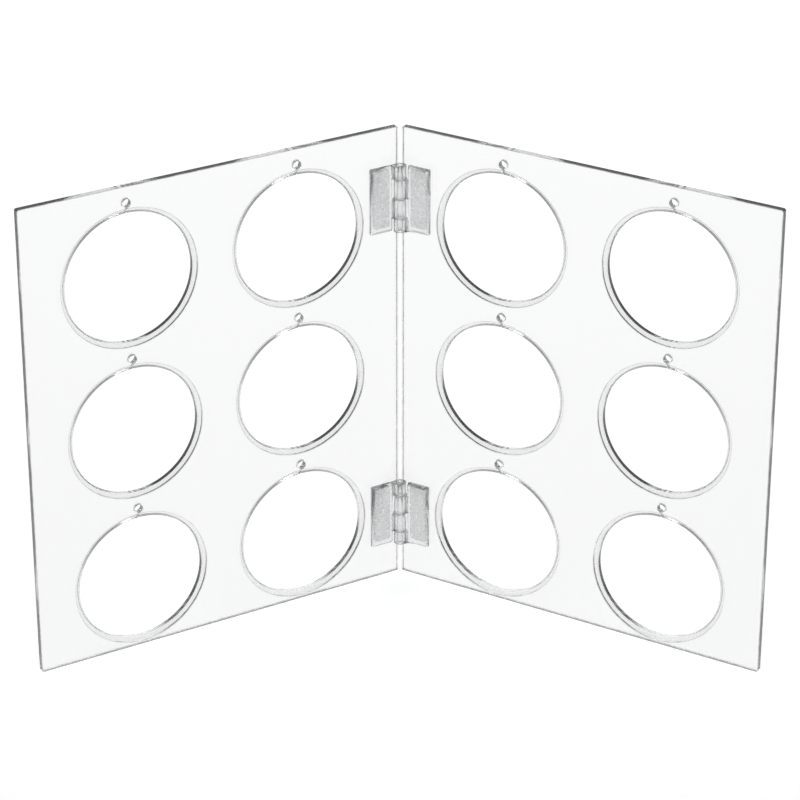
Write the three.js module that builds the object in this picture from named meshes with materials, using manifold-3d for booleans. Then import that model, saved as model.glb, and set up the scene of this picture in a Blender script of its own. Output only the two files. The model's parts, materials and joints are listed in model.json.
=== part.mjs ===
// A free-standing display for round coins: two clear panels joined like a book by two moulded
// hinges, standing open in a V. Each panel has stepped round openings that a coin or a round
// capsule presses into. Millimetres, +Z up. The V opens towards -Y, X runs across it, and the
// origin is the centre of the footprint at the level of the panels' lower edges.

import * as THREE from 'three';
import { mergeVertices } from 'three/addons/utils/BufferGeometryUtils.js';
import Module from 'manifold-3d';

const wasm = await Module();
wasm.setup();

// Driving dimensions: the standing V
const OPENING_ANGLE = 120; // degrees between the two panels as they stand
const FOLD = THREE.MathUtils.degToRad((180 - OPENING_ANGLE) / 2); // each panel's turn from flat

// Panel
const PANEL_WIDTH = 145;
const PANEL_HEIGHT = 178;
const PANEL_THICKNESS = 2.5;
const CORNER_RADIUS = 0.8;

// Openings in a panel
const COLUMNS = 2;
const ROWS = 3;
const COLUMN_PITCH = 65;
const ROW_PITCH = 58.4;
const LOWEST_ROW = 27.3; // height of the lowest row's centres
const SEAT_RADIUS = 25.7; // front part of an opening, which the coin drops into
const SEAT_DEPTH = 0.7;
const THROUGH_RADIUS = 24; // the rest of the thickness, leaving a ledge behind the coin
const RELIEF_RADIUS = 1.5; // round end of the slit above each opening
const RELIEF_RISE = 27.65; // from an opening's centre up to its relief hole's centre
const SLIT_WIDTH = 0.4;

// Hinge. The pivot stands in front of the panels, so that they close parallel with room for coins
const PIVOT_HEIGHT = 2.5; // from a panel's front face out to the pivot
const EDGE_OVERLAP = 0.85; // how far a panel's inner edge reaches past the pivot's line
const HINGE_HEIGHT = 25;
const HINGE_MARGIN = 13.6; // from a panel's top or bottom edge to the hinge
const LEAF_REACH = 11.2; // from the pivot to a leaf's outer edge
const LEAF_THICKNESS = 1.5;
const LEAF_BEVEL_WIDTH = 1.1;
const LEAF_BEVEL_DEPTH = 0.7;
const BARREL_RADIUS = 2.3;
const WEB_REACH = 3.3; // from the pivot to where the web meets the leaf's face
const WEB_SINK = 0.02; // how far the web's foot lies under that face
const WEB_TOP_ANGLE = THREE.MathUtils.degToRad(144); // where the web leaves the barrel, from +X
const BORE_RADIUS = 1.05;
const LONG_KNUCKLE = 7.5; // the two middle knuckles
const SHORT_KNUCKLE = 5; // the two end knuckles
const KNUCKLE_GAP = 0.3;
const SWEEP_CLEARANCE = 0.45; // around the other leaf's knuckles

// Pin
const PIN_RADIUS = 0.85;
const PIN_RECESS = 0.3; // how far its ends lie inside the barrel's ends

// Adhesive layer under each leaf
const BOND_THICKNESS = 0.3;
const BOND_GAP = 0.1; // to the leaf and to the panel
const BOND_MARGIN = 1.6; // inside the leaf's outline
const BOND_INNER_REACH = 3.2; // from the pivot's line to the layer's inner edge

// Facets
const OPENING_SEGMENTS = 56;
const RELIEF_SEGMENTS = 14;
const CORNER_SEGMENTS = 3;
const BARREL_SEGMENTS = 24;
const PIN_SEGMENTS = 16;
const OVERRUN = 1; // how far a cutting shape passes the face that it cuts
const WELD_DISTANCE = 1e-4; // corners closer than this are one corner

// Worked out from the above
const PANEL_CENTRE_X = PANEL_WIDTH / 2 - EDGE_OVERLAP; // from the pivot, laid flat
const LEAF_BACK = PIVOT_HEIGHT - BOND_THICKNESS - 2 * BOND_GAP; // y of a leaf's bonded face
const LEAF_FRONT = LEAF_BACK - LEAF_THICKNESS;

const clearAcrylic = { color: 0xf1f4f5, roughness: 0.04, metalness: 0 };
const clearMoulding = { color: 0xe6eaeb, roughness: 0.14, metalness: 0 };
const pinPlastic = { color: 0xdde2e4, roughness: 0.2, metalness: 0 };
const curedAdhesive = { color: 0xc3c7c9, roughness: 0.5, metalness: 0 };

// ---- joining and cutting ----

function toSolid(geometry) {
  const bare = geometry.clone();
  bare.deleteAttribute('normal');
  bare.deleteAttribute('uv');
  const merged = mergeVertices(bare, WELD_DISTANCE);
  const vertProperties = new Float32Array(merged.attributes.position.array);
  const triVerts = new Uint32Array(merged.index.array);
  return new wasm.Manifold(new wasm.Mesh({ numProp: 3, vertProperties, triVerts }));
}

function toGeometry(solid) {
  const mesh = solid.getMesh();
  const geometry = new THREE.BufferGeometry();
  geometry.setAttribute('position', new THREE.BufferAttribute(mesh.vertProperties, 3));
  geometry.setIndex(new THREE.BufferAttribute(mesh.triVerts, 1));
  geometry.computeVertexNormals();
  return geometry;
}

// An outline drawn in X and Z, made solid from y = back to y = front (front is the lower y).
function plate(shape, back, front, curveSegments) {
  const options = { depth: back - front, bevelEnabled: false, curveSegments };
  const geometry = new THREE.ExtrudeGeometry(shape, options);
  geometry.rotateX(Math.PI / 2);
  geometry.translate(0, back, 0);
  return geometry;
}

// An outline drawn in X and Y, made solid from z = low to z = high.
function column(shape, low, high, curveSegments) {
  const options = { depth: high - low, bevelEnabled: false, curveSegments };
  const geometry = new THREE.ExtrudeGeometry(shape, options);
  geometry.translate(0, 0, low);
  return geometry;
}

// ---- panel ----

function roundedRectangle(width, height, radius) {
  const [x, z] = [width / 2, height];
  const shape = new THREE.Shape();
  shape.moveTo(-x + radius, 0);
  shape.lineTo(x - radius, 0);
  shape.absarc(x - radius, radius, radius, -Math.PI / 2, 0);
  shape.lineTo(x, z - radius);
  shape.absarc(x - radius, z - radius, radius, 0, Math.PI / 2);
  shape.lineTo(-x + radius, z);
  shape.absarc(-x + radius, z - radius, radius, Math.PI / 2, Math.PI);
  shape.lineTo(-x, radius);
  shape.absarc(-x + radius, radius, radius, Math.PI, Math.PI * 1.5);
  return shape;
}

// Points of an arc, both ends included.
function arcPoints(x, z, radius, from, to, segments) {
  const points = [];
  for (let i = 0; i <= segments; i += 1) {
    const angle = from + ((to - from) * i) / segments;
    points.push(new THREE.Vector2(x + radius * Math.cos(angle), z + radius * Math.sin(angle)));
  }
  return points;
}

// A round opening with a slit up to a small relief hole, as one outline.
function keyhole(x, z) {
  const up = Math.PI / 2;
  const openingHalf = Math.asin(SLIT_WIDTH / 2 / THROUGH_RADIUS);
  const reliefHalf = Math.asin(SLIT_WIDTH / 2 / RELIEF_RADIUS);
  const opening = arcPoints(x, z, THROUGH_RADIUS, up + openingHalf, up - openingHalf + 2 * Math.PI,
    OPENING_SEGMENTS);
  const relief = arcPoints(x, z + RELIEF_RISE, RELIEF_RADIUS, -up + reliefHalf,
    -up - reliefHalf + 2 * Math.PI, RELIEF_SEGMENTS);
  return new THREE.Path([...opening, ...relief]);
}

function openingCentres() {
  const centres = [];
  for (let column = 0; column < COLUMNS; column += 1) {
    for (let row = 0; row < ROWS; row += 1) {
      const x = (column - (COLUMNS - 1) / 2) * COLUMN_PITCH;
      centres.push([x, LOWEST_ROW + row * ROW_PITCH]);
    }
  }
  return centres;
}

function coinSeat(x, z) {
  const length = SEAT_DEPTH + OVERRUN;
  const geometry = new THREE.CylinderGeometry(SEAT_RADIUS, SEAT_RADIUS, length, OPENING_SEGMENTS);
  geometry.translate(x, PIVOT_HEIGHT + (SEAT_DEPTH - OVERRUN) / 2, z);
  return geometry;
}

// Laid flat, centred on x = 0, with its front face PIVOT_HEIGHT behind the pivot.
function panelGeometry() {
  const outline = roundedRectangle(PANEL_WIDTH, PANEL_HEIGHT, CORNER_RADIUS);
  outline.holes = openingCentres().map(([x, z]) => keyhole(x, z));
  let solid = toSolid(plate(outline, PIVOT_HEIGHT + PANEL_THICKNESS, PIVOT_HEIGHT, CORNER_SEGMENTS));
  for (const [x, z] of openingCentres()) {
    solid = solid.subtract(toSolid(coinSeat(x, z)));
  }
  return toGeometry(solid);
}

// ---- hinge ----

// The left leaf's plate laid flat, with its three outer edges bevelled on the front.
function leafPlate() {
  const inner = -BARREL_RADIUS - SWEEP_CLEARANCE;
  const shoulder = LEAF_FRONT + LEAF_BEVEL_DEPTH;
  const lengthwise = new THREE.Shape([
    new THREE.Vector2(-LEAF_REACH, LEAF_BACK),
    new THREE.Vector2(-LEAF_REACH, shoulder),
    new THREE.Vector2(-LEAF_REACH + LEAF_BEVEL_WIDTH, LEAF_FRONT),
    new THREE.Vector2(inner, LEAF_FRONT),
    new THREE.Vector2(inner, LEAF_BACK),
  ]);
  const endwise = new THREE.Shape([
    new THREE.Vector2(0, LEAF_BACK),
    new THREE.Vector2(HINGE_HEIGHT, LEAF_BACK),
    new THREE.Vector2(HINGE_HEIGHT, shoulder),
    new THREE.Vector2(HINGE_HEIGHT - LEAF_BEVEL_WIDTH, LEAF_FRONT),
    new THREE.Vector2(LEAF_BEVEL_WIDTH, LEAF_FRONT),
    new THREE.Vector2(0, shoulder),
  ]);
  // The outline's first axis goes to Z, its second stays Y, and it is drawn out along -X.
  const across = new THREE.ExtrudeGeometry(endwise, { depth: LEAF_REACH + OVERRUN, bevelEnabled: false });
  across.rotateY(-Math.PI / 2);
  return toSolid(column(lengthwise, 0, HINGE_HEIGHT)).intersect(toSolid(across));
}

// One knuckle: a round barrel about the pivot with a sloping web down to the plate.
function knuckle(low, high) {
  const barrel = new THREE.Shape();
  barrel.absarc(0, 0, BARREL_RADIUS, 0, 2 * Math.PI);
  const web = new THREE.Shape([
    new THREE.Vector2(-LEAF_REACH / 2, LEAF_BACK),
    new THREE.Vector2(-LEAF_REACH / 2, LEAF_FRONT + LEAF_BEVEL_DEPTH),
    new THREE.Vector2(-WEB_REACH, LEAF_FRONT + WEB_SINK),
    new THREE.Vector2(BARREL_RADIUS * Math.cos(WEB_TOP_ANGLE), -BARREL_RADIUS * Math.sin(WEB_TOP_ANGLE)),
    new THREE.Vector2(0, 0),
    new THREE.Vector2(-Math.sqrt(BARREL_RADIUS ** 2 - LEAF_BACK ** 2), LEAF_BACK),
  ]);
  const round = toSolid(column(barrel, low, high, BARREL_SEGMENTS));
  return round.add(toSolid(column(web, low, high)));
}

// The left leaf laid flat, standing from z = 0, with the pivot on the Z axis. Its knuckles are the
// top one and the long one below the middle, so the same moulding turned over fits between them.
function leafGeometry() {
  const bore = new THREE.Shape();
  bore.absarc(0, 0, BORE_RADIUS, 0, 2 * Math.PI);
  let solid = leafPlate();
  const middle = HINGE_HEIGHT / 2;
  solid = solid.add(knuckle(middle - LONG_KNUCKLE + KNUCKLE_GAP / 2, middle - KNUCKLE_GAP / 2));
  solid = solid.add(knuckle(HINGE_HEIGHT - SHORT_KNUCKLE + KNUCKLE_GAP / 2, HINGE_HEIGHT));
  const drill = column(bore, -OVERRUN, HINGE_HEIGHT + OVERRUN, BARREL_SEGMENTS);
  return toGeometry(solid.subtract(toSolid(drill)));
}

function pinGeometry() {
  const length = HINGE_HEIGHT - 2 * PIN_RECESS;
  const geometry = new THREE.CylinderGeometry(PIN_RADIUS, PIN_RADIUS, length, PIN_SEGMENTS);
  geometry.rotateX(Math.PI / 2);
  geometry.translate(0, 0, HINGE_HEIGHT / 2);
  return geometry;
}

// The adhesive under a left leaf laid flat.
function bondGeometry() {
  const width = LEAF_REACH - BOND_MARGIN - BOND_INNER_REACH;
  const geometry = new THREE.BoxGeometry(width, BOND_THICKNESS, HINGE_HEIGHT - 2 * BOND_MARGIN);
  geometry.translate(-BOND_INNER_REACH - width / 2, PIVOT_HEIGHT - BOND_GAP - BOND_THICKNESS / 2,
    HINGE_HEIGHT / 2);
  return geometry;
}

// ---- assembly ----

function piece(name, geometry, look) {
  const mesh = new THREE.Mesh(geometry, new THREE.MeshStandardMaterial(look));
  mesh.name = name;
  return mesh;
}

// Each hinge's name and the height of its lower end.
function hingeLevels() {
  return [
    ['upper', PANEL_HEIGHT - HINGE_MARGIN - HINGE_HEIGHT],
    ['lower', HINGE_MARGIN],
  ];
}

// One side of the book about the pivot: side is -1 for the left and 1 for the right.
function buildSide(word, side) {
  const half = new THREE.Group();
  half.rotation.z = -side * FOLD;
  const panel = piece(`${word}_panel`, panelGeometry(), clearAcrylic);
  panel.position.x = side * PANEL_CENTRE_X;
  half.add(panel);
  for (const [level, base] of hingeLevels()) {
    const mounted = new THREE.Group();
    mounted.position.z = base;
    mounted.add(piece(`${level}_hinge_${word}_leaf`, leafGeometry(), clearMoulding));
    mounted.add(piece(`${level}_${word}_bond_pad`, bondGeometry(), curedAdhesive));
    if (side > 0) {
      mounted.rotation.y = Math.PI; // turned over about the line through the panels
      mounted.position.z += HINGE_HEIGHT;
    }
    half.add(mounted);
  }
  return half;
}

function buildPins() {
  const pins = new THREE.Group();
  for (const [level, base] of hingeLevels()) {
    const pin = piece(`${level}_hinge_pin`, pinGeometry(), pinPlastic);
    pin.position.z = base;
    pins.add(pin);
  }
  return pins;
}

// Distance from the pivot to the middle of the standing V's footprint, front to back.
function pivotOffset() {
  const back = EDGE_OVERLAP * Math.sin(FOLD) + (PIVOT_HEIGHT + PANEL_THICKNESS) * Math.cos(FOLD);
  const front = (EDGE_OVERLAP - PANEL_WIDTH) * Math.sin(FOLD) + PIVOT_HEIGHT * Math.cos(FOLD);
  return -(back + front) / 2;
}

const display = new THREE.Group();
display.add(buildSide('left', -1), buildSide('right', 1), buildPins());
display.position.y = pivotOffset();

export default display;
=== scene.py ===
"""A clear coin display: two acrylic sheets hinged like a book, each with six stepped round openings.

Lengths are metres, +Z is up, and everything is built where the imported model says. A piece is drawn
lying flat, with the hinge line on the Z axis and the sheet's front face towards -Y, and is then
turned to its place in the standing V.
"""

import json
import math

import bmesh
import bpy
from bpy.props import FloatProperty, FloatVectorProperty, IntProperty, PointerProperty
from mathutils import Matrix, Vector, noise
from mathutils.geometry import tessellate_polygon


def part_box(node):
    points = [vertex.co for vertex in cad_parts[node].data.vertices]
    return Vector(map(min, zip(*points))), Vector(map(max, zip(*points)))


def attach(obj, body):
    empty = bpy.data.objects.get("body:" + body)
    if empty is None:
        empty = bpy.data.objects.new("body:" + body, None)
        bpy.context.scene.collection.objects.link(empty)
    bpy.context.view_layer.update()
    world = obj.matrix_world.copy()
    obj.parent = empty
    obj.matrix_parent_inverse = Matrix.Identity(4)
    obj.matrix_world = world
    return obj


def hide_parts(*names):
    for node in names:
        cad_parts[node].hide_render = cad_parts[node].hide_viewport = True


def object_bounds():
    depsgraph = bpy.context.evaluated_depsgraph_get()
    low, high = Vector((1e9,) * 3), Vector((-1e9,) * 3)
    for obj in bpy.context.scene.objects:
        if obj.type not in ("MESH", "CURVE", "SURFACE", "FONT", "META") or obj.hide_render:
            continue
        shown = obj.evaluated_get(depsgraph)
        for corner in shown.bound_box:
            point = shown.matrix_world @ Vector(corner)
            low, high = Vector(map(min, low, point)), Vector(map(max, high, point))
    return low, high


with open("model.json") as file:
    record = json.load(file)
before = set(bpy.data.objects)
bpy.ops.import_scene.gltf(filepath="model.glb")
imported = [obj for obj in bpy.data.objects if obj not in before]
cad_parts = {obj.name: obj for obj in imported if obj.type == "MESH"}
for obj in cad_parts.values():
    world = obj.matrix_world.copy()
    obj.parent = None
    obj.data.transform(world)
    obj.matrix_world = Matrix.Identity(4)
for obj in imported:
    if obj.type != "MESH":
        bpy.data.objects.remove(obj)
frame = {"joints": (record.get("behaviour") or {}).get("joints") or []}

bl_info = {
    "name": "Clear Coin Display",
    "version": (1, 0, 0),
    "blender": (4, 5, 0),
    "location": "View3D > Sidebar > Coin Display",
    "description": "Builds a clear hinged display for round coins around its packed frame",
    "category": "Add Mesh",
}

MM = 0.001
SIDES = {"left": -1, "right": 1}
LEVELS = ("upper", "lower")

# ---- what the frame says ----

CAD_LOW, CAD_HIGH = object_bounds()
FOLD_JOINT = frame["joints"][0]
PIVOT = Vector(FOLD_JOINT["pos_m"])
CLOSING = -math.radians(FOLD_JOINT["range_deg"][0])  # from the standing V to folded shut
FOLD = (math.pi - CLOSING) / 2  # each sheet's turn away from lying flat


def node_size(node):
    low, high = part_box(node)
    return high - low


def sheet_size():
    """Width and thickness of a sheet, worked out from its box in the standing V."""
    size = node_size("left_panel")
    along, aside = math.cos(FOLD), math.sin(FOLD)
    spread = along**2 - aside**2
    width = (size.x * along - size.y * aside) / spread
    thickness = (size.y * along - size.x * aside) / spread
    return width, thickness


SHEET_WIDTH, SHEET_THICKNESS = sheet_size()
SHEET_HEIGHT = node_size("left_panel").z
HINGE_HEIGHT = node_size("upper_hinge_left_leaf").z

# ---- how finely shapes are drawn ----

OPENING_STEPS = 192
RELIEF_STEPS = 28
LEDGE_STEPS = 8
CORNER_STEPS = 6
BARREL_STEPS = 72
PIN_STEPS = 48
DOME_STEPS = 5
BLOT_STEPS = 160
BLOT_RINGS = 14
WELD = 1e-8  # corners that agree to this length are one corner
CREASE = math.radians(30)
FLOOR_DROP = 0.05 * MM  # the floor lies this far under the sheets' lower edges

# ---- small shapes that nobody needs to change ----

WEB_SINK = 0.02 * MM  # how far a web's foot lies under the plate's face
WEB_TOP_ANGLE = math.radians(144)  # where a web leaves the barrel
PIN_DOME = 1 / 3  # rise of a pin's end, as a share of its radius
BLOT_SQUARENESS = 14  # power of the adhesive's outline: higher has squarer corners
BLOT_SHRINK = 0.012  # how far the outline wanders inwards, as a share of its reach
BLOT_WANDER = ((3, 1.0), (9, 0.5))  # how often the outline wanders, and how strongly
BLOT_FULLNESS = 0.72  # average thickness of the adhesive, as a share of the room for it
BLOT_SWELL = 0.25  # how much that varies from patch to patch
BLOT_PATCHES = 900  # patches to the metre
BLOT_RIM_POWER = 12  # how late the adhesive thins out towards its outline
SCRATCH_DIRECTIONS = (24, 83, 141)  # degrees


# ---- sizes and colours a user may change ----


def length(name, description, default):
    return FloatProperty(
        name=name, description=description, default=default, min=0, precision=5, unit="LENGTH"
    )


def colour(name, description, default):
    return FloatVectorProperty(
        name=name, description=description, default=default, size=3, min=0, max=1, subtype="COLOR"
    )


def amount(name, description, default, highest=1.0):
    return FloatProperty(name=name, description=description, default=default, min=0, max=highest)


class SheetSizes(bpy.types.PropertyGroup):
    """Sizes of one clear sheet and its openings."""

    width: length("Width", "From the hinge edge to the outer edge", SHEET_WIDTH)
    height: length("Height", "From the lower edge to the upper edge", SHEET_HEIGHT)
    thickness: length("Thickness", "Thickness of the sheet", SHEET_THICKNESS)
    corner_radius: length("Corner Radius", "Rounding of the sheet's corners", 0.8 * MM)
    edge_easing: length("Edge Easing", "Width of the small slope on every cut edge", 0.2 * MM)
    column_pitch: length("Column Pitch", "Between the two columns of openings", 65 * MM)
    row_pitch: length("Row Pitch", "Between two rows of openings", 58.4 * MM)
    lowest_row: length("Lowest Row", "Height of the lowest openings' centres", 27.3 * MM)
    seat_radius: length("Seat Radius", "Front step, which the coin drops into", 25.7 * MM)
    seat_depth: length("Seat Depth", "Depth of the front step", 0.7 * MM)
    through_radius: length("Through Radius", "The rest of the opening", 24 * MM)
    ledge_grooves: IntProperty(
        name="Ledge Grooves", description="Shallow rounded grooves turned in a ledge", default=1, min=0
    )
    groove_depth: length("Groove Depth", "Depth of the ledge's grooves", 0.35 * MM)
    relief_radius: length("Relief Radius", "Small hole above each opening", 1.5 * MM)
    relief_rise: length("Relief Rise", "From an opening's centre to its small hole", 27.65 * MM)
    slit_width: length("Slit Width", "Slit from the small hole to the opening", 0.4 * MM)


class HingeSizes(bpy.types.PropertyGroup):
    """Sizes of one hinge, its pin and the adhesive under it."""

    height: length("Height", "Height of a hinge", HINGE_HEIGHT)
    pivot_height: length("Pivot Height", "From a sheet's front face out to the pivot", 2.5 * MM)
    edge_overlap: length("Edge Overlap", "A sheet's reach past the pivot line", 0.85 * MM)
    reach: length("Reach", "From the pivot to a leaf's outer edge", 11.2 * MM)
    leaf_thickness: length("Leaf Thickness", "Thickness of a leaf's plate", 1.5 * MM)
    bevel_width: length("Bevel Width", "Width of the slope round a leaf", 1.1 * MM)
    bevel_depth: length("Bevel Depth", "Depth of the slope round a leaf", 0.7 * MM)
    barrel_radius: length("Barrel Radius", "Outside of a knuckle", 2.3 * MM)
    bore_radius: length("Bore Radius", "Hole for the pin", 1.05 * MM)
    web_reach: length("Web Reach", "From the pivot to the web's foot", 3.3 * MM)
    long_knuckle: length("Long Knuckle", "The two middle knuckles", 7.5 * MM)
    short_knuckle: length("Short Knuckle", "The two end knuckles", 5 * MM)
    knuckle_gap: length("Knuckle Gap", "Between two knuckles", 0.3 * MM)
    sweep_clearance: length("Sweep Clearance", "Round the other leaf's knuckles", 0.45 * MM)
    edge_easing: length("Edge Easing", "Rounding of the moulding's edges", 0.1 * MM)
    corner_radius: length("Corner Radius", "Rounding of a leaf's two outer corners", 0.6 * MM)
    pin_radius: length("Pin Radius", "Radius of the hinge pin", 0.85 * MM)
    pin_recess: length("Pin Recess", "How far the pin's ends lie inside the barrel", 0.3 * MM)
    bond_thickness: length("Bond Thickness", "Thickness of the adhesive", 0.3 * MM)
    bond_gap: length("Bond Gap", "From the adhesive to the leaf and the sheet", 0.1 * MM)
    bond_margin: length("Bond Margin", "Inside a leaf's outline", 1.6 * MM)
    bond_inner_reach: length("Bond Inner Reach", "From the pivot to the adhesive", 3.2 * MM)


class Finishes(bpy.types.PropertyGroup):
    """Colours and optical values of the clear plastics."""

    sheet_tint: colour("Sheet Tint", "Body colour of the acrylic sheet", (0.9, 0.903, 0.906))
    edge_tint: colour("Edge Tint", "Body colour seen at the cut edges", (0.86, 0.865, 0.87))
    # The scraped slopes' colour is painted shade: a dark grey that draws the dark lines along the clear
    # edges.
    eased_painted_shade: colour("Eased Painted Shade", "Colour of the scraped slopes of the cut edges", (0.46, 0.465, 0.47))
    ledge_tint: colour("Ledge Tint", "Body colour seen at the milled ledges", (0.84, 0.85, 0.86))
    moulding_tint: colour("Moulding Tint", "Body colour of the hinges", (0.935, 0.94, 0.945))
    pin_tint: colour("Pin Tint", "Body colour of the hinge pins", (0.95, 0.955, 0.96))
    adhesive_pale: colour("Adhesive Pale", "Lightest part of the adhesive", (0.9, 0.905, 0.91))
    adhesive_dark: colour("Adhesive Dark", "Darkest part of the adhesive", (0.6, 0.61, 0.62))
    cut_clearness: amount("Cut Clearness", "How clear the cut edges are", 0.9)
    ledge_clearness: amount("Ledge Clearness", "How clear the milled ledges are", 0.82)
    eased_clearness: amount("Eased Clearness", "How clear the scraped slopes are", 0.5)
    moulding_clearness: amount("Moulding Clearness", "How clear the hinge leaves are", 0.94)
    acrylic_index: amount("Refractive Index", "Bending of light in the plastics", 1.49, 2.5)


class StudioLook(bpy.types.PropertyGroup):
    """The floor, the lights, the surroundings and the camera."""

    floor_radius: length("Floor Radius", "Radius of the round floor", 3.5)
    floor_colour: colour("Floor Colour", "Colour of the floor", (0.9, 0.9, 0.9))
    floor_glow: amount("Floor Glow", "Light that the floor gives by itself", 0.44, 4)
    horizon: amount("Horizon", "Brightness of the surroundings near the floor", 0.6, 4)
    zenith: amount("Zenith", "Brightness of the surroundings overhead", 0.28, 4)
    lamp_power: FloatProperty(
        name="Lamp Power", description="Power of the lamp overhead", default=11.5, min=0, unit="POWER"
    )
    lamp_height: length("Lamp Height", "Height of the lamp over the floor", 1.6)
    lamp_setback: length("Lamp Setback", "How far the lamp stands behind the display", 0.6)
    lamp_width: length("Lamp Width", "Width of the square lamp", 1.2)
    camera_distance: length("Camera Distance", "From the middle of the display", 1186 * MM)
    camera_lens: FloatProperty(
        name="Lens", description="Focal length in millimetres", default=152.2, min=1, unit="CAMERA"
    )
    camera_elevation: FloatProperty(
        name="Elevation",
        description="Angle of the camera above the floor",
        default=math.radians(27.12),
        subtype="ANGLE",
    )


# ---- places ----


def standing(side):
    """From a piece drawn flat to its place in the standing V: side is -1 for left, 1 for right."""
    return Matrix.Translation(PIVOT) @ Matrix.Rotation(-side * FOLD, 4, "Z")


def leaf_place(side, base, height):
    """Place of a left leaf drawn flat; the right one is the same moulding turned over."""
    place = standing(side) @ Matrix.Translation((0, 0, base))
    if side > 0:
        place = place @ Matrix.Translation((0, 0, height)) @ Matrix.Rotation(math.pi, 4, "Y")
    return place


def hinge_base(level):
    low, _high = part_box(f"{level}_hinge_left_leaf")
    return low.z


# ---- mesh making ----


def arc(centre_x, centre_z, radius, start, stop, steps):
    """Points of an arc in X and Z, both ends included."""
    angles = [start + (stop - start) * i / steps for i in range(steps + 1)]
    return [(centre_x + radius * math.cos(a), centre_z + radius * math.sin(a)) for a in angles]


def place_points(bm, found, points):
    """Vertices for the points, sharing those that are already there."""
    corners = []
    for point in points:
        key = tuple(round(value / WELD) for value in point)
        if key not in found:
            found[key] = bm.verts.new(point)
        corners.append(found[key])
    return corners


def add_face(bm, corners, slot=0):
    """A face from its corners. Corners that coincide count once; a face with no area is left out."""
    distinct = [corner for i, corner in enumerate(corners) if corner is not corners[i - 1]]
    if len(set(distinct)) < 3:
        return
    face = bm.faces.new(distinct)
    face.material_index = slot


def bridge(bm, loop, following, slot=0):
    """Walls between two closed loops with the same number of points."""
    for i in range(len(loop)):
        j = (i + 1) % len(loop)
        add_face(bm, [loop[i], loop[j], following[j], following[i]], slot)


def join_strips(bm, strip, following, slot=0):
    """Walls between two open rows of points."""
    for i in range(len(strip) - 1):
        add_face(bm, [strip[i], strip[i + 1], following[i + 1], following[i]], slot)


def fill(bm, loops, slot=0, axes=(0, 2)):
    """A flat face inside the first loop with the other loops as holes."""
    outlines = [[Vector((v.co[axes[0]], v.co[axes[1]], 0)) for v in loop] for loop in loops]
    corners = [vertex for loop in loops for vertex in loop]
    for triangle in tessellate_polygon(outlines):
        add_face(bm, [corners[i] for i in triangle], slot)


def shade(bm):
    """Smooth shading, with edges that turn by more than the crease angle kept sharp."""
    bmesh.ops.recalc_face_normals(bm, faces=bm.faces)
    for face in bm.faces:
        face.smooth = True
    for edge in bm.edges:
        edge.smooth = edge.is_manifold and edge.calc_face_angle() < CREASE


def to_object(bm, name, materials=()):
    mesh = bpy.data.meshes.new(name)
    bm.to_mesh(mesh)
    bm.free()
    piece = bpy.data.objects.new(name, mesh)
    for material in materials:
        mesh.materials.append(material)
    bpy.context.scene.collection.objects.link(piece)
    return piece


def settle(piece, place, body, node):
    """Puts a finished piece where its CAD node is, in place of it."""
    piece.matrix_world = place
    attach(piece, body)
    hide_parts(node)
    return piece


# ---- clear sheets ----

# A sheet's materials, and the slot that each of them takes on its mesh.
SHEET_MATERIALS = ("Clear Acrylic Face", "Polished Cut Edge", "Turned Ledge", "Scraped Edge With Painted Shade")
FACE_FINISH, CUT_FINISH, LEDGE_FINISH, EASED_FINISH = range(4)


def opening_centres(sizes):
    columns = (-sizes.column_pitch / 2, sizes.column_pitch / 2)
    rows = [sizes.lowest_row + i * sizes.row_pitch for i in range(3)]
    return [(x, z) for x in columns for z in rows]


def opening_arc(sizes, centre, radius, easing, y):
    """An opening's rim at depth y, left open at the top where the slit joins it."""
    lean = math.asin((sizes.slit_width / 2 + easing) / radius)
    start, stop = math.pi / 2 + lean, 2.5 * math.pi - lean
    return [(x, y, z) for x, z in arc(*centre, radius, start, stop, OPENING_STEPS)]


def relief_arc(sizes, centre, easing, y):
    """The small hole's rim at depth y, left open at the bottom where the slit joins it."""
    radius = sizes.relief_radius + easing
    lean = math.asin((sizes.slit_width / 2 + easing) / radius)
    start, stop = lean - math.pi / 2, 1.5 * math.pi - lean
    hole = arc(centre[0], centre[1] + sizes.relief_rise, radius, start, stop, RELIEF_STEPS)
    return [(x, y, z) for x, z in hole]


def ledge_profile(sizes, ledge):
    """Radii and depths across the ledge, which is turned in shallow rounded grooves."""
    seat, through = sizes.seat_radius, sizes.through_radius
    points = []
    for i in range(LEDGE_STEPS + 1):
        share = i / LEDGE_STEPS
        dip = (1 - math.cos(2 * math.pi * sizes.ledge_grooves * share)) / 2
        points.append((seat + (through - seat) * share, 0, ledge + sizes.groove_depth * dip))
    return points


def build_opening(bm, found, sizes, centre, steps, depths):
    """The walls of one opening, from front to back; returns its outlines in the two faces."""
    rims = [place_points(bm, found, opening_arc(sizes, centre, *step)) for step in steps]
    holes = [place_points(bm, found, relief_arc(sizes, centre, *depth)) for depth in depths]
    slots = [EASED_FINISH, CUT_FINISH, *[LEDGE_FINISH] * LEDGE_STEPS, CUT_FINISH, EASED_FINISH]
    for rim, following, slot in zip(rims, rims[1:], slots):
        join_strips(bm, rim, following, slot)
    for hole, following in zip(holes, holes[1:]):
        join_strips(bm, hole, following, LEDGE_FINISH)
    for rim_end, hole_end in ((-1, 0), (0, -1)):
        rim_line = [rim[rim_end] for rim in rims]
        hole_line = [hole[hole_end] for hole in holes]
        for i, j in ((0, 1), (-2, -1)):
            add_face(bm, [rim_line[i], rim_line[j], hole_line[j], hole_line[i]], LEDGE_FINISH)
        add_face(bm, rim_line[1:-1] + hole_line[-2:0:-1], LEDGE_FINISH)
    return rims[0] + holes[0], rims[-1] + holes[-1]


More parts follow.
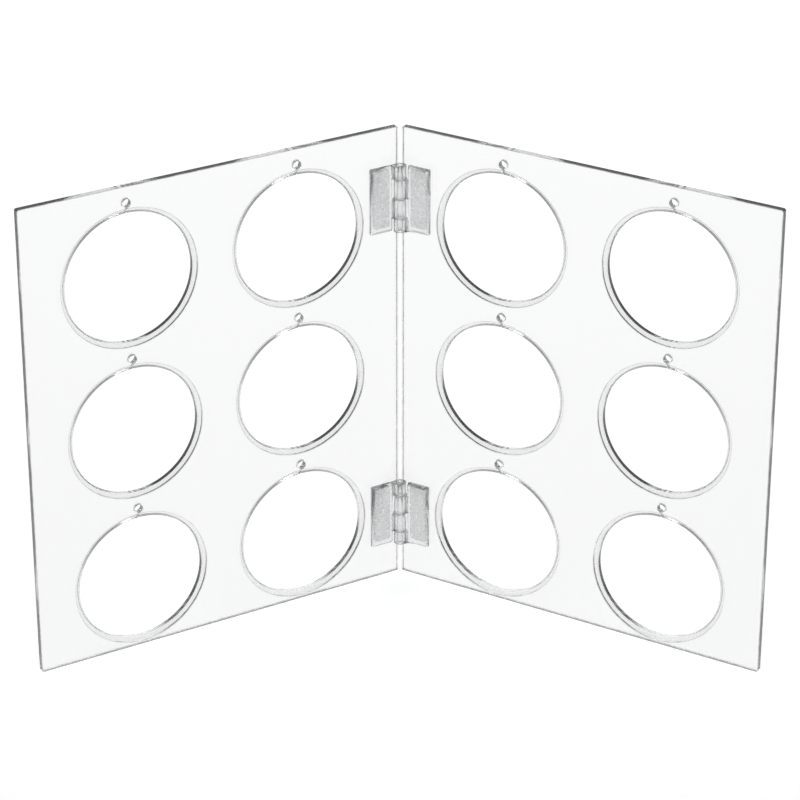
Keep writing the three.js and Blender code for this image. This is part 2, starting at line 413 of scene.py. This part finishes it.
def sheet_outline(sizes, inset, y):
    """Outer outline of a sheet with rounded corners, at depth y."""
    half, top, radius = sizes.width / 2, sizes.height, sizes.corner_radius
    corners = [
        (half - radius, radius, -math.pi / 2),
        (half - radius, top - radius, 0),
        (radius - half, top - radius, math.pi / 2),
        (radius - half, radius, math.pi),
    ]
    flat = []
    for x, z, start in corners:
        flat += arc(x, z, radius - inset, start, start + math.pi / 2, CORNER_STEPS)
    return [(x, y, z) for x, z in flat]


def build_sheet(sizes, pivot_height, name, materials):
    """One clear sheet lying flat and centred on x = 0, with every cut edge eased."""
    bm = bmesh.new()
    found = {}
    easing = sizes.edge_easing
    front = pivot_height
    back = pivot_height + sizes.thickness
    ledge = front + sizes.seat_depth
    depths = [(easing, front), (0, front + easing), (0, back - easing), (easing, back)]
    outer = [place_points(bm, found, sheet_outline(sizes, *depth)) for depth in depths]
    for i, slot in enumerate((EASED_FINISH, CUT_FINISH, EASED_FINISH)):
        bridge(bm, outer[i], outer[i + 1], slot)
    steps = [(sizes.seat_radius + easing, easing, front), (sizes.seat_radius, 0, front + easing)]
    steps += ledge_profile(sizes, ledge)
    steps += [
        (sizes.through_radius, 0, back - easing),
        (sizes.through_radius + easing, easing, back),
    ]
    front_loops, back_loops = [outer[0]], [outer[-1]]
    for centre in opening_centres(sizes):
        front_loop, back_loop = build_opening(bm, found, sizes, centre, steps, depths)
        front_loops.append(front_loop)
        back_loops.append(back_loop)
    fill(bm, front_loops, FACE_FINISH)
    fill(bm, back_loops, FACE_FINISH)
    shade(bm)
    return to_object(bm, name, materials)


# ---- hinges ----


def leaf_outline(sizes, inset, y):
    """Outline of a leaf's plate in X and Z: its inner edge stays straight, the rest moves in."""
    outer = -sizes.reach + inset
    inner = -sizes.barrel_radius - sizes.sweep_clearance
    low, high = inset, sizes.height - inset
    radius = sizes.corner_radius
    flat = [(inner, low), (inner, high)]
    flat += arc(outer + radius, high - radius, radius, math.pi / 2, math.pi, CORNER_STEPS)
    flat += arc(outer + radius, low + radius, radius, math.pi, 1.5 * math.pi, CORNER_STEPS)
    return [(x, y, z) for x, z in flat]


def leaf_depths(sizes):
    """Depths of a leaf's bonded back face and of its front face."""
    back = sizes.pivot_height - sizes.bond_thickness - 2 * sizes.bond_gap
    return back, back - sizes.leaf_thickness


def build_plate(sizes, name):
    bm = bmesh.new()
    back, front = leaf_depths(sizes)
    shoulder = front + sizes.bevel_depth
    rims = [(0, back), (0, shoulder), (sizes.bevel_width, front)]
    loops = [place_points(bm, {}, leaf_outline(sizes, inset, y)) for inset, y in rims]
    for loop, following in zip(loops, loops[1:]):
        bridge(bm, loop, following)
    bm.faces.new(loops[0])
    bm.faces.new(loops[-1])
    bmesh.ops.recalc_face_normals(bm, faces=bm.faces)
    return to_object(bm, name)


def knuckle_outline(sizes):
    """Section of a knuckle in X and Y: the barrel, with a web that slopes down to the plate."""
    back, front = leaf_depths(sizes)
    radius = sizes.barrel_radius
    lowest = math.atan2(back, -math.sqrt(radius**2 - back**2))
    highest = -WEB_TOP_ANGLE
    outline = arc(0, 0, radius, lowest, highest, BARREL_STEPS)
    root = -sizes.reach / 2
    outline.append((-sizes.web_reach, front + WEB_SINK))
    outline.append((root, front + sizes.bevel_depth))
    outline.append((root, back - WEB_SINK))
    return outline


def build_knuckle(sizes, low, high, name):
    bm = bmesh.new()
    outline = knuckle_outline(sizes)
    bore = arc(0, 0, sizes.bore_radius, 0, 2 * math.pi, BARREL_STEPS)[:-1]
    ends = []
    for z in (low, high):
        outside = place_points(bm, {}, [(x, y, z) for x, y in outline])
        inside = place_points(bm, {}, [(x, y, z) for x, y in bore])
        ends.append((outside, inside))
        fill(bm, [outside, inside], axes=(0, 1))
    bridge(bm, ends[0][0], ends[1][0])
    bridge(bm, ends[0][1], ends[1][1])
    bmesh.ops.recalc_face_normals(bm, faces=bm.faces)
    return to_object(bm, name)


def knuckle_heights(sizes):
    """Lower and upper ends of a left leaf's two knuckles."""
    middle, half_gap = sizes.height / 2, sizes.knuckle_gap / 2
    return [
        (middle - sizes.long_knuckle + half_gap, middle - half_gap),
        (sizes.height - sizes.short_knuckle + half_gap, sizes.height),
    ]


def apply_modifiers(piece):
    """The piece's mesh with its modifiers worked in."""
    evaluated = piece.evaluated_get(bpy.context.evaluated_depsgraph_get())
    mesh = bpy.data.meshes.new_from_object(evaluated)
    piece.modifiers.clear()
    old = piece.data
    piece.data = mesh
    bpy.data.meshes.remove(old)


def build_leaf(sizes, name, material):
    """A left leaf lying flat from z = 0: the plate and two knuckles joined, with rounded edges."""
    piece = build_plate(sizes, name)
    knuckles = [
        build_knuckle(sizes, low, high, f"{name}_knuckle") for low, high in knuckle_heights(sizes)
    ]
    for knuckle in knuckles:
        joining = piece.modifiers.new("Join", "BOOLEAN")
        joining.operation = "UNION"
        joining.solver = "EXACT"
        joining.object = knuckle
    easing = piece.modifiers.new("Ease", "BEVEL")
    easing.width = sizes.edge_easing
    easing.segments = 2
    easing.limit_method = "ANGLE"
    easing.angle_limit = CREASE
    apply_modifiers(piece)
    for knuckle in knuckles:
        bpy.data.objects.remove(knuckle)
    bm = bmesh.new()
    bm.from_mesh(piece.data)
    bmesh.ops.remove_doubles(bm, verts=bm.verts, dist=WELD)
    shade(bm)
    bm.to_mesh(piece.data)
    bm.free()
    piece.data.materials.clear()
    piece.data.materials.append(material)
    return piece


def build_pin(sizes, name, material):
    """A round pin with slightly domed ends, standing from z = 0."""
    bm = bmesh.new()
    radius, low = sizes.pin_radius, sizes.pin_recess
    high = sizes.height - sizes.pin_recess
    dome = radius * PIN_DOME
    profile = []
    for i in range(1, DOME_STEPS + 1):
        angle = math.pi / 2 * i / DOME_STEPS
        profile.append((radius * math.sin(angle), low + dome * (1 - math.cos(angle))))
    profile += [(r, low + high - z) for r, z in reversed(profile)]
    rings = []
    for ring_radius, z in profile:
        circle = arc(0, 0, ring_radius, 0, 2 * math.pi, PIN_STEPS)[:-1]
        rings.append(place_points(bm, {}, [(x, y, z) for x, y in circle]))
    for ring, following in zip(rings, rings[1:]):
        bridge(bm, ring, following)
    bm.faces.new(rings[0])
    bm.faces.new(rings[-1])
    shade(bm)
    return to_object(bm, name, [material])


# ---- adhesive ----


def blot_outline(sizes, seed):
    """Uneven outline of pressed-out adhesive under a left leaf, in X and Z about its own middle."""
    half_width = (sizes.reach - sizes.bond_margin - sizes.bond_inner_reach) / 2
    half_height = sizes.height / 2 - sizes.bond_margin
    points = []
    for i in range(BLOT_STEPS):
        angle = 2 * math.pi * i / BLOT_STEPS
        across, upward = math.cos(angle), math.sin(angle)
        power = BLOT_SQUARENESS
        square = (abs(across) ** power + abs(upward) ** power) ** (-1 / power)
        wander = 1.0
        for often, strength in BLOT_WANDER:
            wander += strength * noise.noise(Vector((across * often, upward * often, seed)))
        shrink = 1 - BLOT_SHRINK * wander
        points.append((half_width * across * square * shrink, half_height * upward * square * shrink))
    return points


def build_blot(sizes, name, seed, material):
    """The cured adhesive under a left leaf lying flat: a thin film, thick and thin in patches."""
    bm = bmesh.new()
    middle_x = -(sizes.reach - sizes.bond_margin + sizes.bond_inner_reach) / 2
    middle_z = sizes.height / 2
    middle_y = sizes.pivot_height - sizes.bond_gap - sizes.bond_thickness / 2
    outline = blot_outline(sizes, seed)
    rings = []
    shares = [(i + 1) / BLOT_RINGS for i in range(BLOT_RINGS)]
    for facing, order in ((-1, shares), (1, reversed(shares[:-1]))):
        for share in order:
            points = []
            for x, z in outline:
                x, z = x * share, z * share
                patch = noise.noise(Vector((x * BLOT_PATCHES, z * BLOT_PATCHES, seed + facing)))
                half = sizes.bond_thickness / 2 * (BLOT_FULLNESS + BLOT_SWELL * patch)
                rim = math.sqrt(max(0.0, 1 - share**BLOT_RIM_POWER))
                points.append((middle_x + x, middle_y + facing * half * rim, middle_z + z))
            rings.append(place_points(bm, {}, points))
    for ring, following in zip(rings, rings[1:]):
        bridge(bm, ring, following)
    bm.faces.new(rings[0])
    bm.faces.new(rings[-1])
    shade(bm)
    return to_object(bm, name, [material])


# ---- material building ----


def add_node(tree, kind, inputs=None, **settings):
    """A node with its settings, whose inputs are set to values or linked from other sockets."""
    node = tree.nodes.new(kind)
    for name, value in settings.items():
        setattr(node, name, value)
    for key, value in (inputs or {}).items():
        if isinstance(value, bpy.types.NodeSocket):
            tree.links.new(value, node.inputs[key])
        else:
            node.inputs[key].default_value = value
    return node


def remap(tree, value, low, high, to_low, to_high):
    """A value stretched from one range to another and kept inside it."""
    inputs = {"Value": value, "From Min": low, "From Max": high, "To Min": to_low, "To Max": to_high}
    return add_node(tree, "ShaderNodeMapRange", inputs).outputs["Result"]


def calculate(tree, operation, first, second):
    return add_node(tree, "ShaderNodeMath", {0: first, 1: second}, operation=operation).outputs[0]


def mix_colours(tree, share, first, second):
    """A mix of two colours. The node's colour sockets are told apart only by their numbers."""
    inputs = {0: share, 6: first, 7: second}
    return add_node(tree, "ShaderNodeMix", inputs, data_type="RGBA").outputs[2]


def opaque(rgb):
    return (*rgb, 1.0)


def new_group(name, inputs, outputs):
    """An empty node group with its sockets; returns the tree and its input and output nodes."""
    tree = bpy.data.node_groups.new(name, "ShaderNodeTree")
    for label, default in inputs:
        kind = "NodeSocketVector" if default is None else "NodeSocketFloat"
        socket = tree.interface.new_socket(name=label, in_out="INPUT", socket_type=kind)
        if default is not None:
            socket.default_value = default
    for label in outputs:
        tree.interface.new_socket(name=label, in_out="OUTPUT", socket_type="NodeSocketFloat")
    return tree, tree.nodes.new("NodeGroupInput"), tree.nodes.new("NodeGroupOutput")


def scaled(tree, vector, factors):
    return add_node(
        tree, "ShaderNodeVectorMath", {0: vector, 1: factors}, operation="MULTIPLY"
    ).outputs[0]


def scuff_group():
    """Fine straight scratches in three directions, and soft smudges left by handling."""
    inputs = [("Vector", None), ("Scratch Scale", 2600.0), ("Scratch Cover", 0.3), ("Smudge Scale", 35.0)]
    tree, source, result = new_group("Handling Scuffs", inputs, ["Scratches", "Smudges"])
    threshold = remap(tree, source.outputs["Scratch Cover"], 0, 1, 0.8, 0.6)
    scratches = 0.0
    for degrees in SCRATCH_DIRECTIONS:
        turned = add_node(
            tree, "ShaderNodeMapping",
            {"Vector": source.outputs["Vector"], "Rotation": (0, math.radians(degrees), 0)},
        ).outputs[0]
        streaks = add_node(
            tree, "ShaderNodeTexNoise",
            {
                "Vector": scaled(tree, turned, (1, 1, 0.02)),
                "Scale": source.outputs["Scratch Scale"],
                "Detail": 1.0,
            },
        ).outputs["Fac"]
        above = calculate(tree, "SUBTRACT", streaks, threshold)
        line = remap(tree, above, 0, 0.04, 0, 1)
        scratches = calculate(tree, "MAXIMUM", line, scratches)
    smears = add_node(
        tree, "ShaderNodeTexNoise",
        {
            "Vector": source.outputs["Vector"],
            "Scale": source.outputs["Smudge Scale"],
            "Detail": 4.0,
            "Distortion": 0.6,
        },
    ).outputs["Fac"]
    tree.links.new(scratches, result.inputs["Scratches"])
    tree.links.new(remap(tree, smears, 0.48, 0.72, 0, 1), result.inputs["Smudges"])
    return tree


def ripple_group():
    """Slow waves in a polished or moulded surface, drawn out along chosen directions."""
    inputs = [("Vector", None), ("Stretch", None), ("Scale", 200.0), ("Roundness", 0.5)]
    tree, source, result = new_group("Surface Ripple", inputs, ["Height"])
    drawn = scaled(tree, source.outputs["Vector"], source.outputs["Stretch"])
    waves = add_node(
        tree, "ShaderNodeTexNoise",
        {
            "Vector": drawn,
            "Scale": source.outputs["Scale"],
            "Detail": 3.0,
            "Roughness": source.outputs["Roundness"],
        },
    ).outputs["Fac"]
    tree.links.new(waves, result.inputs["Height"])
    return tree


def speck_group():
    """Scattered small round specks: dust on a surface, or bubbles shut in it."""
    inputs = [("Vector", None), ("Scale", 400.0), ("Share", 0.1), ("Size", 0.2)]
    tree, source, result = new_group("Round Specks", inputs, ["Mask"])
    cells = add_node(
        tree, "ShaderNodeTexVoronoi",
        {"Vector": source.outputs["Vector"], "Scale": source.outputs["Scale"]}, feature="F1",
    )
    pick = add_node(tree, "ShaderNodeSeparateColor", {"Color": cells.outputs["Color"]}).outputs["Red"]
    chosen = calculate(tree, "LESS_THAN", pick, source.outputs["Share"])
    reach = calculate(tree, "SUBTRACT", source.outputs["Size"], cells.outputs["Distance"])
    dot = remap(tree, reach, 0, 0.05, 0, 1)
    tree.links.new(calculate(tree, "MULTIPLY", dot, chosen), result.inputs["Mask"])
    return tree


def effect(tree, group_name, **values):
    """A built node group placed in a material, with its own values. Names use _ for a space."""
    node = tree.nodes.new("ShaderNodeGroup")
    node.node_tree = bpy.data.node_groups[group_name]
    for name, value in values.items():
        socket = node.inputs[name.replace("_", " ")]
        if isinstance(value, bpy.types.NodeSocket):
            tree.links.new(value, socket)
        else:
            socket.default_value = value
    return node


def new_material(name):
    """An empty material and the object's own coordinates, which go with it when it moves."""
    material = bpy.data.materials.new(name)
    material.use_nodes = True
    tree = material.node_tree
    tree.nodes.clear()
    place = tree.nodes.new("ShaderNodeTexCoord").outputs["Object"]
    return material, tree, place


def bump(tree, height, strength, distance, under=None):
    inputs = {"Height": height, "Strength": strength, "Distance": distance}
    if under is not None:
        inputs["Normal"] = under
    return add_node(tree, "ShaderNodeBump", inputs).outputs["Normal"]


def clear_plastic(tree, index, base, roughness, normal, shade_tint, clearness=1.0):
    """Finishes a clear material. Lamps shine through it, as they do through the real plastic.

    Clearness under 1 leaves part of the surface dull and scattering, as a cut leaves it.
    """
    body = add_node(
        tree, "ShaderNodeBsdfPrincipled",
        {
            "Base Color": base,
            "Roughness": roughness,
            "IOR": index,
            "Transmission Weight": clearness,
            "Normal": normal,
        },
    )
    passing = add_node(tree, "ShaderNodeBsdfTransparent", {"Color": opaque(shade_tint)})
    shadow_ray = tree.nodes.new("ShaderNodeLightPath").outputs["Is Shadow Ray"]
    both = add_node(
        tree, "ShaderNodeMixShader", {0: shadow_ray, 1: body.outputs[0], 2: passing.outputs[0]}
    )
    add_node(tree, "ShaderNodeOutputMaterial", {"Surface": both.outputs[0]})


def sheet_face_material(finishes):
    """The polished faces of the acrylic sheet: nearly flawless, lightly handled."""
    material, tree, place = new_material("Clear Acrylic Face")
    scuffs = effect(tree, "Handling Scuffs", Vector=place, Scratch_Cover=0.22)
    dust = effect(tree, "Round Specks", Vector=place, Scale=520.0, Share=0.05, Size=0.09)
    tint = finishes.sheet_tint
    base = mix_colours(
        tree, remap(tree, dust.outputs["Mask"], 0, 1, 0, 0.35), opaque(tint), opaque(finishes.edge_tint)
    )
    worn = calculate(tree, "MAXIMUM", scuffs.outputs["Scratches"], scuffs.outputs["Smudges"])
    roughness = remap(tree, worn, 0, 1, 0.005, 0.035)
    normal = bump(tree, scuffs.outputs["Scratches"], 0.12, 0.01 * MM)
    clear_plastic(tree, finishes.acrylic_index, base, roughness, normal, tint)
    return material


def cut_edge_material(finishes):
    """The cut edges of the sheet: flame-polished, with fine lines across the thickness."""
    material, tree, place = new_material("Polished Cut Edge")
    lines = effect(
        tree, "Surface Ripple", Vector=place, Stretch=(1, 0.03, 1), Scale=1400.0, Roundness=0.4
    )
    waves = effect(
        tree, "Surface Ripple", Vector=place, Stretch=(1, 0.5, 1), Scale=110.0, Roundness=0.5
    )
    scuffs = effect(tree, "Handling Scuffs", Vector=place, Scratch_Cover=0.3)
    base = mix_colours(
        tree, remap(tree, waves.outputs["Height"], 0.35, 0.65, 0, 1),
        opaque(finishes.edge_tint), opaque(finishes.ledge_tint),
    )
    dulled = calculate(tree, "MAXIMUM", lines.outputs["Height"], scuffs.outputs["Scratches"])
    roughness = remap(tree, dulled, 0.3, 0.8, 0.08, 0.26)
    slow = bump(tree, waves.outputs["Height"], 0.5, 0.25 * MM)
    normal = bump(tree, lines.outputs["Height"], 0.25, 0.03 * MM, slow)
    tint = finishes.sheet_tint
    clear_plastic(tree, finishes.acrylic_index, base, roughness, normal, tint, finishes.cut_clearness)
    return material


def eased_edge_material(finishes):
    """The narrow slopes scraped along the cut edges: matt, with chatter marks along them, and a dark grey
    that is painted shade for the dark lines along the clear edges.
    """
    material, tree, place = new_material("Scraped Edge With Painted Shade")
    chatter = effect(
        tree, "Surface Ripple", Vector=place, Stretch=(1, 0.3, 1), Scale=260.0, Roundness=0.6
    )
    scuffs = effect(tree, "Handling Scuffs", Vector=place, Scratch_Cover=0.3)
    # The slopes' dark grey is painted shade, drawing the dark lines along the clear edges; the chatter
    # marks vary it.
    base = mix_colours(
        tree, remap(tree, chatter.outputs["Height"], 0.4, 0.65, 0, 1),
        opaque(finishes.eased_painted_shade), opaque(finishes.edge_tint),
    )
    roughness = remap(tree, scuffs.outputs["Smudges"], 0, 1, 0.35, 0.5)
    normal = bump(tree, chatter.outputs["Height"], 0.4, 0.1 * MM)
    tint = finishes.sheet_tint
    clear_plastic(tree, finishes.acrylic_index, base, roughness, normal, tint, finishes.eased_clearness)
    return material


def ledge_material(finishes):
    """The ledge in each opening: milled and only lightly polished, so it stays a little cloudy."""
    material, tree, place = new_material("Turned Ledge")
    waves = effect(
        tree, "Surface Ripple", Vector=place, Stretch=(1, 1, 1), Scale=160.0, Roundness=0.5
    )
    dust = effect(tree, "Round Specks", Vector=place, Scale=900.0, Share=0.2, Size=0.16)
    base = mix_colours(
        tree, remap(tree, waves.outputs["Height"], 0.35, 0.65, 0, 1),
        opaque(finishes.ledge_tint), opaque(finishes.edge_tint),
    )
    roughness = remap(tree, dust.outputs["Mask"], 0, 1, 0.16, 0.3)
    normal = bump(tree, waves.outputs["Height"], 0.4, 0.2 * MM)
    tint = finishes.sheet_tint
    clear_plastic(tree, finishes.acrylic_index, base, roughness, normal, tint, finishes.ledge_clearness)
    return material


def moulding_material(finishes):
    """The moulded hinge leaves: clear, faintly cloudy, with flow marks."""
    material, tree, place = new_material("Moulded Clear Plastic")
    flow = effect(
        tree, "Surface Ripple", Vector=place, Stretch=(1, 1, 0.35), Scale=420.0, Roundness=0.45
    )
    scuffs = effect(tree, "Handling Scuffs", Vector=place, Scratch_Cover=0.35, Smudge_Scale=160.0)
    base = mix_colours(
        tree, remap(tree, flow.outputs["Height"], 0.3, 0.7, 0, 0.5),
        opaque(finishes.moulding_tint), opaque(finishes.sheet_tint),
    )
    roughness = remap(tree, scuffs.outputs["Smudges"], 0, 1, 0.12, 0.26)
    normal = bump(tree, flow.outputs["Height"], 0.35, 0.08 * MM)
    tint = finishes.moulding_tint
    clear_plastic(tree, finishes.acrylic_index, base, roughness, normal, tint, finishes.moulding_clearness)
    return material


def pin_material(finishes):
    """The hinge pins: clear rod, rubbed round by the turning knuckles."""
    material, tree, place = new_material("Clear Pin Rod")
    rubbing = effect(
        tree, "Surface Ripple", Vector=place, Stretch=(0.05, 0.05, 1), Scale=1500.0, Roundness=0.6
    )
    scuffs = effect(tree, "Handling Scuffs", Vector=place, Scratch_Cover=0.4)
    base = mix_colours(
        tree, scuffs.outputs["Smudges"], opaque(finishes.pin_tint), opaque(finishes.moulding_tint)
    )
    roughness = remap(tree, rubbing.outputs["Height"], 0.35, 0.65, 0.03, 0.12)
    normal = bump(tree, rubbing.outputs["Height"], 0.2, 0.02 * MM)
    clear_plastic(tree, finishes.acrylic_index, base, roughness, normal, finishes.pin_tint)
    return material


def adhesive_material(finishes):
    """The cured adhesive: a grey film, cloudy in patches, with small bubbles."""
    material, tree, place = new_material("Cured Adhesive")
    clouds = effect(tree, "Surface Ripple", Vector=place, Stretch=(1, 1, 1), Scale=900.0, Roundness=0.7)
    bubbles = effect(tree, "Round Specks", Vector=place, Scale=1500.0, Share=0.3, Size=0.22)
    cloud = remap(tree, clouds.outputs["Height"], 0.38, 0.62, 0, 1)
    base = mix_colours(tree, cloud, opaque(finishes.adhesive_dark), opaque(finishes.adhesive_pale))
    bubble = bubbles.outputs["Mask"]
    alpha = calculate(
        tree, "SUBTRACT", remap(tree, cloud, 0, 1, 0.14, 0.42), remap(tree, bubble, 0, 1, 0, 0.3)
    )
    body = add_node(
        tree, "ShaderNodeBsdfPrincipled",
        {
            "Base Color": base,
            "Roughness": remap(tree, cloud, 0, 1, 0.3, 0.55),
            "Alpha": alpha,
            "Normal": bump(tree, clouds.outputs["Height"], 0.6, 0.1 * MM),
        },
    )
    add_node(tree, "ShaderNodeOutputMaterial", {"Surface": body.outputs[0]})
    return material


NODE_GROUPS = {
    "Handling Scuffs": scuff_group,
    "Surface Ripple": ripple_group,
    "Round Specks": speck_group,
}
MATERIALS = {
    "Clear Acrylic Face": sheet_face_material,
    "Polished Cut Edge": cut_edge_material,
    "Turned Ledge": ledge_material,
    "Scraped Edge With Painted Shade": eased_edge_material,
    "Moulded Clear Plastic": moulding_material,
    "Clear Pin Rod": pin_material,
    "Cured Adhesive": adhesive_material,
}


def finish(name):
    """A material by its name, built the first time it is asked for."""
    for group, builder in NODE_GROUPS.items():
        if group not in bpy.data.node_groups:
            builder()
    return bpy.data.materials.get(name) or MATERIALS[name](bpy.context.scene.display_finishes)


# ---- stage ----

FLOOR_STEPS = 128
SKY_FADE = (0.1, 0.6)  # height in the sky, as a sine, between which it darkens
SENSOR_WIDTH = 36  # millimetres
NEAREST, FARTHEST = 0.05, 50  # what the camera takes in


def build_floor(studio):
    bm = bmesh.new()
    bmesh.ops.create_circle(bm, cap_ends=True, radius=studio.floor_radius, segments=FLOOR_STEPS)
    bmesh.ops.translate(bm, verts=bm.verts, vec=(0, 0, -FLOOR_DROP))
    material, tree, _place = new_material("Pale Floor")
    body = add_node(
        tree, "ShaderNodeBsdfPrincipled",
        {
            "Base Color": opaque(studio.floor_colour),
            "Roughness": 0.7,
            "Specular IOR Level": 0.1,
            "Emission Color": (1, 1, 1, 1),
            "Emission Strength": studio.floor_glow,
        },
    )
    add_node(tree, "ShaderNodeOutputMaterial", {"Surface": body.outputs[0]})
    floor = to_object(bm, "floor", [material])


def build_surroundings(studio):
    """A pale horizon that darkens overhead, so that the clear edges have something to show."""
    world = bpy.data.worlds.new("Studio")
    world.use_nodes = True
    tree = world.node_tree
    tree.nodes.clear()
    direction = tree.nodes.new("ShaderNodeTexCoord").outputs["Generated"]
    height = add_node(tree, "ShaderNodeSeparateXYZ", {0: direction}).outputs["Z"]
    strength = remap(tree, height, *SKY_FADE, studio.horizon, studio.zenith)
    background = add_node(
        tree, "ShaderNodeBackground", {"Color": (1, 1, 1, 1), "Strength": strength}
    )
    add_node(tree, "ShaderNodeOutputWorld", {"Surface": background.outputs[0]})
    bpy.context.scene.world = world


def aim(thing, target):
    thing.rotation_mode = "QUATERNION"
    thing.rotation_quaternion = (Vector(target) - thing.location).to_track_quat("-Z", "Y")


def add_lamp(name, location, target, width, power):
    light = bpy.data.lights.new(name, "AREA")
    light.shape = "SQUARE"
    light.size = width
    light.energy = power
    lamp = bpy.data.objects.new(name, light)
    lamp.location = location
    aim(lamp, target)
    bpy.context.scene.collection.objects.link(lamp)


def build_camera(studio):
    middle = (CAD_LOW + CAD_HIGH) / 2
    away = Vector((0, -math.cos(studio.camera_elevation), math.sin(studio.camera_elevation)))
    lens = bpy.data.cameras.new("camera")
    lens.lens = studio.camera_lens
    lens.sensor_width = SENSOR_WIDTH
    lens.clip_start = NEAREST
    lens.clip_end = FARTHEST
    camera = bpy.data.objects.new("camera", lens)
    camera.location = middle + away * studio.camera_distance
    aim(camera, middle)
    bpy.context.scene.collection.objects.link(camera)
    bpy.context.scene.camera = camera


# ---- operators ----


class DISPLAY_OT_add_sheets(bpy.types.Operator):
    """Build the two clear sheets with their stepped openings"""

    bl_idname = "coin_display.add_sheets"
    bl_label = "Add Clear Sheets"

    def execute(self, context):
        sizes, hinge = context.scene.display_sheet, context.scene.display_hinge
        materials = [finish(name) for name in SHEET_MATERIALS]
        for word, side in SIDES.items():
            sheet = build_sheet(sizes, hinge.pivot_height, f"{word}_sheet", materials)
            offset = side * (sizes.width / 2 - hinge.edge_overlap)
            place = standing(side) @ Matrix.Translation((offset, 0, 0))
            settle(sheet, place, f"{word}_side", f"{word}_panel")
        return {"FINISHED"}


class DISPLAY_OT_add_leaves(bpy.types.Operator):
    """Build the four moulded hinge leaves"""

    bl_idname = "coin_display.add_leaves"
    bl_label = "Add Hinge Leaves"

    def execute(self, context):
        sizes = context.scene.display_hinge
        plastic = finish("Moulded Clear Plastic")
        for level in LEVELS:
            for word, side in SIDES.items():
                leaf = build_leaf(sizes, f"{level}_{word}_leaf", plastic)
                place = leaf_place(side, hinge_base(level), sizes.height)
                settle(leaf, place, f"{word}_side", f"{level}_hinge_{word}_leaf")
        return {"FINISHED"}


class DISPLAY_OT_add_pins(bpy.types.Operator):
    """Build the two hinge pins"""

    bl_idname = "coin_display.add_pins"
    bl_label = "Add Hinge Pins"

    def execute(self, context):
        sizes = context.scene.display_hinge
        rod = finish("Clear Pin Rod")
        for level in LEVELS:
            pin = build_pin(sizes, f"{level}_pin", rod)
            place = Matrix.Translation(PIVOT + Vector((0, 0, hinge_base(level))))
            settle(pin, place, "left_side", f"{level}_hinge_pin")
        return {"FINISHED"}


class DISPLAY_OT_add_adhesive(bpy.types.Operator):
    """Build the four films of cured adhesive under the hinge leaves"""

    bl_idname = "coin_display.add_adhesive"
    bl_label = "Add Adhesive"

    def execute(self, context):
        sizes = context.scene.display_hinge
        cured = finish("Cured Adhesive")
        for row, level in enumerate(LEVELS):
            for word, side in SIDES.items():
                seed = 10 * row + side
                film = build_blot(sizes, f"{level}_{word}_adhesive", seed, cured)
                place = leaf_place(side, hinge_base(level), sizes.height)
                settle(film, place, f"{word}_side", f"{level}_{word}_bond_pad")
        return {"FINISHED"}


class DISPLAY_OT_add_stage(bpy.types.Operator):
    """Build the floor, the surroundings, the lamp and the camera"""

    bl_idname = "coin_display.add_stage"
    bl_label = "Add Stage"

    def execute(self, context):
        studio = context.scene.display_studio
        build_floor(studio)
        build_surroundings(studio)
        above = (0, studio.lamp_setback, studio.lamp_height)
        below = (0, studio.lamp_setback, 0)
        add_lamp("overhead_lamp", above, below, studio.lamp_width, studio.lamp_power)
        build_camera(studio)
        context.scene.view_settings.view_transform = "Standard"
        return {"FINISHED"}


class DISPLAY_PT_sidebar(bpy.types.Panel):
    """Sizes, colours and building steps of the coin display"""

    bl_idname = "DISPLAY_PT_sidebar"
    bl_label = "Coin Display"
    bl_space_type = "VIEW_3D"
    bl_region_type = "UI"
    bl_category = "Coin Display"

    def draw(self, context):
        for step in STEPS:
            self.layout.operator(step.bl_idname)
        for name in SETTINGS:
            settings = getattr(context.scene, name)
            box = self.layout.box()
            for key in settings.__annotations__:
                box.prop(settings, key)


STEPS = (
    DISPLAY_OT_add_stage,
    DISPLAY_OT_add_sheets,
    DISPLAY_OT_add_leaves,
    DISPLAY_OT_add_pins,
    DISPLAY_OT_add_adhesive,
)
SETTINGS = {
    "display_sheet": SheetSizes,
    "display_hinge": HingeSizes,
    "display_finishes": Finishes,
    "display_studio": StudioLook,
}


def register():
    for group in SETTINGS.values():
        bpy.utils.register_class(group)
    for name, group in SETTINGS.items():
        setattr(bpy.types.Scene, name, PointerProperty(type=group))
    for operator in STEPS:
        bpy.utils.register_class(operator)
    bpy.utils.register_class(DISPLAY_PT_sidebar)


def unregister():
    bpy.utils.unregister_class(DISPLAY_PT_sidebar)
    for operator in reversed(STEPS):
        bpy.utils.unregister_class(operator)
    for name, group in reversed(SETTINGS.items()):
        delattr(bpy.types.Scene, name)
        bpy.utils.unregister_class(group)


def main():
    register()
    bpy.ops.coin_display.add_stage()
    bpy.ops.coin_display.add_sheets()
    bpy.ops.coin_display.add_leaves()
    bpy.ops.coin_display.add_pins()
    bpy.ops.coin_display.add_adhesive()


if __name__ == "__main__":
    main()
